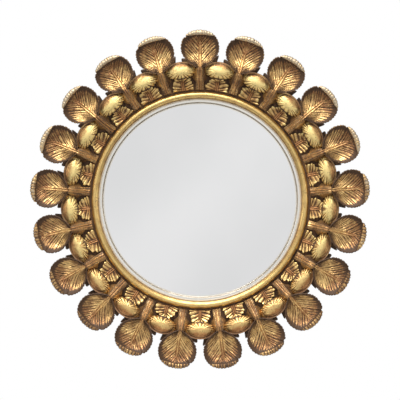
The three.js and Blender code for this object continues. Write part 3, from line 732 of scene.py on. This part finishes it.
def ear_shell(side, reach, sharp):
    """
    One low ear: a flat leaf tip on the ring, whose outline is a spade that leans outward. The grid's rows
    shrink the outline about its middle, up over a rounded edge and back under.
    """
    turn = full_turn(72)
    tip = np.array([side * reach * math.tan(0.43 * pitch), reach])
    foot = np.array([side * 0.004, dome_start + 0.008])
    middle = 0.5 * (tip + foot)
    axis = tip - foot
    length = np.hypot(*axis)
    axis = axis / length
    cross = np.array([-axis[1], axis[0]])
    along = np.cos(turn) * (1 + sharp * np.clip(np.cos(turn), 0, 1) ** 8) / (1 + sharp)
    wide = 0.40 * np.sin(turn) * (1 - 0.25 * np.cos(turn))
    outline_x = middle[0] + length / 2 * (along * axis[0] + wide * cross[0])
    outline_y = middle[1] + length / 2 * (along * axis[1] + wide * cross[1])
    shrink = np.array([0, 0.35, 0.7, 0.9, 0.98, 1.0, 0.98, 0])[:, None]
    lift = np.array([0.006, 0.0062, 0.006, 0.0052, 0.0038, 0.002, 0, 0])[:, None]
    x = middle[0] + shrink * (outline_x - middle[0])
    y = middle[1] + shrink * (outline_y - middle[1])
    height = leaf_seat + lift * np.ones_like(x)
    # painted shade: the ears are glazed dark all over, as they lie low in the shade of the leaves above them
    hollow = 0.65 + 0.35 * shrink * np.ones_like(x)
    return x, y, height, hollow, 0.3 * np.ones_like(x), 0 * x


leaf_masks = ("Hollow", "Bole", "Wear_and_light")
aged_gold = build_gold(
    "aged_gold", (0.93, 0.63, 0.26, 1), (0.085, 0.042, 0.018, 1), (0.42, 0.20, 0.08, 1),
    (0.62, 0.50, 0.34, 1), 0.55, 0.0016, leaf_masks,
)


def add_leaf(name, surfaces, material, turn, replaced):
    """Places a leaf's surfaces at their angle round the mirror and makes them one piece."""
    shells = [
        shell(leaf_place(x, y, height, turn), *x.shape, masks)
        for x, y, height, *masks in surfaces
    ]
    make_piece(name, shells, material, [replaced], mask_names=leaf_masks)


for leaf in range(leaf_count):
    random = np.random.default_rng(100 + leaf)
    # every lip is rubbed a little pale, and the lips along the top are paler still: painted light from above
    lip_wear_and_light = 0.22 + 0.50 * float(step_up(math.cos(leaf * pitch), -0.7, 0.7))
    surfaces = [
        blade_shell(random, lip_wear_and_light), stem_shell(random),
        ear_shell(-1, dome_end + 0.0045, 0.0), ear_shell(1, dome_end + 0.010, 0.25),
    ]
    add_leaf(f"blade_{leaf + 1:02d}", surfaces, aged_gold, leaf * pitch, f"outer_leaf_{leaf + 1:02d}")

# ---------------------------------------------------------------------------------------------------------
# Inner leaves. Carved, gessoed and gilded like the others, one between each two stems. The fan-shaped foot
# stands on the ring, cut with slanting strokes, and its tip swells forward into a fluted dome.
# ---------------------------------------------------------------------------------------------------------
half_pitch = math.tan(pitch / 2)
dome_middle = dome_start + 0.0125
dome_half = (dome_start + dome_end) / 2 * half_pitch - 0.0080
dome_rim = leaf_seat + 0.016
dome_swell = 0.014
fan_half = leaf_root * half_pitch - 0.0078
fan_reach = 0.0250
fan_power = 2.6  # 2 would make the fan's edge a plain ellipse, and more squares it
stroke_pitch = 0.0056


def fan_shell(random):
    """
    The foot: a fan on a flat base. Its edge is a full half ellipse about the middle of the root. Ribs leave
    the midline, the middle ones higher up, and end in teeth, and the fan climbs towards its outer edge.
    """
    turn = np.linspace(-np.pi / 2, np.pi / 2, 181)
    sideways = np.abs(np.sin(turn) / fan_half) ** fan_power
    outward = np.abs(np.cos(turn) / fan_reach) ** fan_power
    radius = (sideways + outward) ** (-1 / fan_power)
    cut = hand_cut(turn * 0.0195, stroke_pitch, random, 0.9)
    uneven = 0.05 * np.sin(5 * turn + random.uniform(0, 6)) + 0.04 * np.sin(11 * turn + random.uniform(0, 6))
    radial = np.linspace(0, 1, 26)[:, None]
    radius = radius * (1 - (0.12 * cut + 0.09 + uneven) * radial ** 2)
    x = radial * radius * np.sin(turn)
    begin = 0.55 * fan_reach * step_up(np.cos(turn), 0.15, 1.0)
    y = leaf_root + begin + radial * (radius * np.cos(turn) - begin)
    deep = cut * step_up(radial, 0.03, 0.28)
    ridge_end = step_up(y, leaf_root + 0.012, leaf_root + 0.017)
    ridge = np.exp(-((np.abs(x) - 0.0015) / 0.0007) ** 2) * (1 - ridge_end)
    climb = (y - leaf_root) / fan_reach
    height = leaf_seat + 0.0045 + 0.0035 * radial + 0.0040 * climb - 0.0017 * deep + 0.0011 * ridge
    height = height - 0.0012 * step_up(radial, 0.92, 1.0)
    # the rib tips are rubbed pale and less glazed: wear on the high points, and a painted highlight where
    # they catch the light
    tips = step_up(radial, 0.45, 0.85) * (1 - cut)
    patch = 0.5 + 0.5 * np.sin(6 * turn + 8 * radial + random.uniform(0, 6))
    # glaze has run into the thin lines beside the ridges
    beside = np.exp(-(x / 0.0006) ** 2) + np.exp(-((np.abs(x) - 0.0031) / 0.0006) ** 2)
    lined = beside * (1 - step_up(y, leaf_root + 0.014, leaf_root + 0.018))
    hollow = 0.20 + 0.75 * deep - 0.40 * tips - 0.4 * ridge + 0.25 * patch + 0.6 * lined
    bole = 0.55 * (1 - step_up(radial, 0.1, 0.6)) + 0.6 * ridge + 0.15 * patch
    pale_wear_and_light = 0.75 * tips * (1 - 0.6 * patch)

    def closed(front, wall, base):
        """Adds the wall round the edge and the base below, and the walls along the straight root."""
        rows = np.concatenate([front, wall, base])
        return np.concatenate([rows[:, :1], rows, rows[:, -1:]], axis=1)

    x = closed(x, x[-1:], 0 * x[-1:])
    y = closed(y, y[-1:], 0 * y[-1:] + leaf_root)
    height = closed(height, 0 * height[-1:] + leaf_seat, 0 * height[-1:] + leaf_seat)
    height[:, [0, -1]] = leaf_seat
    # painted shade: the wall round the edge and the base are glazed dark
    hollow = closed(hollow, 0 * hollow[-1:] + 0.9, 0 * hollow[-1:] + 0.9)
    bole = closed(bole, 0 * bole[-1:] + 0.3, 0 * bole[-1:] + 0.3)
    pale_wear_and_light = closed(pale_wear_and_light, 0 * pale_wear_and_light[-1:], 0 * pale_wear_and_light[-1:])
    return x, y, height, hollow, bole, pale_wear_and_light


def neck_shell():
    """The neck that joins the foot to the dome, out of sight below it: an oval post on the ring."""
    turn = full_turn(48)
    spread = np.array([0, 1, 0.85, 0.9, 0.9, 0])[:, None]
    level = np.array([0, 0, 0.006, 0.018, 0.0215, 0.0215])[:, None]
    x = 0.012 * spread * np.sin(turn)
    y = 0.2195 + 0.0045 * spread * np.cos(turn)
    # painted shade: the post is glazed dark
    return x, y, leaf_seat + level + 0 * x, 0.9 + 0 * x, 0.3 + 0 * x, 0 * x


def dome_shell(random, dome_wear_and_light):
    """
    The domed tip: two quarter ellipsoids on one rim, steep towards the mirror and long outward, hollow
    below. The steep half is cut into ribs and rubbed pale by as much as wear says, which is partly wear and
    partly painted light from above, and a shallow groove sets off a border along the other half. The
    underside is glazed dark as painted shade.
    """
    turn = full_turn(216)
    front_rows = 26
    lift = np.linspace(0, np.pi / 2, front_rows)
    lift = np.concatenate([lift, lift[::-4]])[:, None]
    radial, rise = np.sin(lift), np.cos(lift)
    front = np.arange(len(lift))[:, None] < front_rows
    inward = -np.cos(turn)
    reach = np.where(inward > 0, dome_middle - dome_start, dome_end - dome_middle)
    # the cuts are the same on both sides of the seam at the top, where they have faded out
    cut = hand_cut(np.abs(np.pi - turn) * 0.0225, 0.0072, random, 0.9)
    ribbed = step_up(inward, -0.35, 0.15)
    deep = cut * step_up(radial, 0.20, 0.65) * ribbed
    outer_half = step_up(-inward, -0.30, 0.30)
    border = np.exp(-((radial - 0.80) / 0.035) ** 2) * outer_half
    arcs = hand_cut(radial[:, 0] * 0.018, 0.0031, random)[:, None] * step_up(radial, 0.15, 0.40) * outer_half
    notched = 1 - 0.08 * cut * ribbed * step_up(radial, 0.6, 1.0)
    x = dome_half * radial * np.sin(turn) * notched
    y = dome_middle - reach * radial * inward * notched
    over = dome_rim + dome_swell * rise - 0.0016 * deep - 0.0012 * border - 0.0004 * arcs
    below = dome_rim - 0.002 + (dome_swell - 0.003) * rise
    height = np.where(front, over, below)
    # the outer half has kept its brown patina, and the inner half is rubbed bright
    patina = step_up(y, dome_middle + 0.001, dome_middle + 0.011)
    # painted shade: the underside is glazed dark
    hollow = np.where(front, 0.12 + 0.80 * deep + 0.4 * border + 0.26 * patina + 0.25 * arcs, 0.9)
    bole = np.where(front, 0.50 * patina + 0.5 * (0.85 - dome_wear_and_light), 0.2)
    pale_wear_and_light = np.where(front, dome_wear_and_light * (1 - patina) - 0.8 * deep, 0)
    return x, y, height, hollow, bole, pale_wear_and_light


bright_gold = build_gold(
    "bright_gold", (0.93, 0.64, 0.26, 1), (0.10, 0.048, 0.02, 1), (0.50, 0.235, 0.085, 1),
    (0.95, 0.73, 0.30, 1), 0.50, 0.0016, leaf_masks,
)
for leaf in range(leaf_count):
    random = np.random.default_rng(200 + leaf)
    # the domes round the upper half are painted brightest and least red: painted light from above, over wear
    # on all
    dome_wear_and_light = 0.35 + 0.50 * float(step_up(math.cos((leaf + 0.5) * pitch), -0.9, 0.0))
    surfaces = [fan_shell(random), neck_shell(), dome_shell(random, dome_wear_and_light)]
    add_leaf(
        f"dome_leaf_{leaf + 1:02d}", surfaces, bright_gold, (leaf + 0.5) * pitch,
        f"inner_leaf_{leaf + 1:02d}",
    )

# ---------------------------------------------------------------------------------------------------------
# Back. A plywood board closes the ring's rebate and holds the glass. Six countersunk steel screws hold it
# to the ledge, and two felt pads keep the ring's lower edge off the wall.
# ---------------------------------------------------------------------------------------------------------
plywood = build_wood("plywood", (0.46, 0.30, 0.17, 1), (0.27, 0.165, 0.085, 1), (5, 60, 90), 0.72)


def build_metal(name, bright, dull, roughness, scratch):
    """Bare metal that has dulled unevenly, with fine scratches in its polish."""
    material, tree, shader = new_material(name)
    place = object_place(tree)
    tarnish = noise(tree, place, 240.0, 5.0)
    drawn = node(tree, "ShaderNodeMapping", {"Vector": place, "Scale": (300, 2500, 900)}).outputs["Vector"]
    feed(tree, shader, {
        "Base Color": mix_colours(tree, ramp_between(tree, tarnish, 0.4, 0.65), bright, dull),
        "Metallic": 1.0,
        "Roughness": ramp_between(tree, tarnish, 0.35, 0.7, roughness, roughness + 0.25),
        "Normal": emboss(tree, noise(tree, drawn, 1.0, 2.0), 0.2, scratch),
    })
    return material


brass = build_metal("brass", (0.80, 0.56, 0.22, 1), (0.42, 0.26, 0.10, 1), 0.25, 0.0001)
steel = build_metal("steel", (0.62, 0.61, 0.58, 1), (0.36, 0.35, 0.33, 1), 0.32, 0.0001)
felt, felt_tree, felt_shader = new_material("felt")
felt_fuzz = noise(felt_tree, object_place(felt_tree), 1400.0, 4.0)
felt_share = ramp_between(felt_tree, felt_fuzz, 0.35, 0.65)
feed(felt_tree, felt_shader, {
    "Base Color": mix_colours(felt_tree, felt_share, (0.020, 0.017, 0.015, 1), (0.060, 0.052, 0.046, 1)),
    "Roughness": 0.95,
    "Normal": emboss(felt_tree, felt_fuzz, 0.8, 0.0008),
})


def spun(profile, centre_x, centre_y, steps=48, slot=0.0, slot_depth=0.0, slot_turn=0.0):
    """
    A surface of revolution about a line square to the wall through (centre_x, centre_y). Where slot is
    given, the face that lies behind the profile's first point is cut by a driver slot that wide.
    """
    radius, height = np.asarray(profile).T
    turn = full_turn(steps)
    x = np.outer(np.sin(turn), radius)
    y = np.outer(np.cos(turn), radius)
    height = np.broadcast_to(height, x.shape)
    if slot:
        offset = np.abs(x * math.cos(slot_turn) + y * math.sin(slot_turn))
        face = height < height[:, :1] + 0.25 * slot_depth
        height = height + slot_depth * (1 - step_up(offset, 0.42 * slot, 0.58 * slot)) * face
    return shell(upright(x + centre_x, y + centre_y, height), *x.shape)


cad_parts["backboard"].data.materials.clear()
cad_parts["backboard"].data.materials.append(plywood)

screw_head = 0.0036
screw_shank = 0.0015
screw_slot = 0.0010
screw_circle = rebate + 0.008
flat_face = np.stack([np.linspace(0, screw_head - 0.0002, 15), np.zeros(15)], axis=1)
for index in range(6):
    turn = (index + 0.5) * math.pi / 3
    place = (screw_circle * math.sin(turn), screw_circle * math.cos(turn))
    countersunk = np.concatenate([
        flat_face, [[screw_head, 0.0002], [screw_shank, 0.0021], [screw_shank, 0.012], [0, 0.015]],
    ])
    make_piece(
        f"board_screw_{index + 1}", [spun(countersunk, *place, 64, screw_slot, 0.0009, 0.7 + 1.9 * index)],
        steel, [f"backboard_screw_{index + 1}"],
    )

pad_circle = (ledge + ring_outer) / 2
pad_radius = 0.007
pad_profile = np.concatenate([
    [[0, -0.0033]], arc((pad_radius - 0.0008, -0.0025), (0.0008, 0.0008), -90, 0, 5),
    [[pad_radius, -fit_gap], [0, -fit_gap]],
])
for name, side in (("left", 1), ("right", -1)):
    turn = math.pi + side * math.pi / 6
    place = (pad_circle * math.sin(turn), pad_circle * math.cos(turn))
    make_piece(f"felt_pad_{name}", [spun(pad_profile, *place)], felt, [f"bumper_{name}"])

# ---------------------------------------------------------------------------------------------------------
# Hanger. A folded brass strap, held by one round-headed screw, carries a brass D-ring that swings in its
# fold and hangs down behind the ring at rest.
# ---------------------------------------------------------------------------------------------------------
hinge_depth = fit_gap + 0.00295
hinge_height = pad_circle + 0.0095
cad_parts["hanger_strap"].data.materials.clear()
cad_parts["hanger_strap"].data.materials.append(brass)

seat = -(2 * fit_gap + 0.0012)
head_profile = np.concatenate([
    np.stack([np.linspace(0, 0.0021, 12), np.full(12, seat - 0.0018)], axis=1),
    arc((0.0021, seat - 0.0003), (0.0015, 0.0015), -80, 0, 7),
    [[screw_head, seat], [screw_shank, seat], [screw_shank, seat + 0.009], [0, seat + 0.012]],
])
make_piece(
    "strap_screw", [spun(head_profile, 0, pad_circle, 64, screw_slot, 0.0010, 0.6)], steel,
    ["hanger_screw"],
)


def d_ring_shell():
    """
    The D-ring: a round wire along a closed path. The path is a straight bar, two tight corners, two straight
    sides and a half circle below, and the wire's section turns with it.
    """
    half, corner, drop, wire = 0.0124, 0.003, 0.0284, 0.0014
    bow = half - drop
    path = np.concatenate([
        np.stack([np.linspace(half - corner, -half + corner, 24), np.zeros(24)], axis=1),
        arc((-half + corner, -corner), (corner, corner), 90, 180, 12)[1:],
        np.stack([np.full(12, -half), np.linspace(-corner, bow, 13)[1:]], axis=1),
        arc((0, bow), (half, half), 180, 360, 64)[1:],
        np.stack([np.full(12, half), np.linspace(bow, -corner, 13)[1:]], axis=1),
        arc((half - corner, -corner), (corner, corner), 0, 90, 12)[1:],
    ])
    ahead = np.roll(path[:-1], -1, axis=0) - np.roll(path[:-1], 1, axis=0)
    ahead = ahead / np.hypot(*ahead.T)[:, None]
    ahead = np.concatenate([ahead, ahead[:1]])
    turn = full_turn(20)
    outward = wire * np.cos(turn)
    x = path[:, :1] + ahead[:, 1:] * outward
    y = path[:, 1:] - ahead[:, :1] * outward
    height = -hinge_depth + wire * np.sin(turn) * np.ones_like(x)
    return shell(upright(x, y + hinge_height, height), *x.shape)


make_piece("d_ring", [d_ring_shell()], brass, ["hanger_ring"], body="ring")
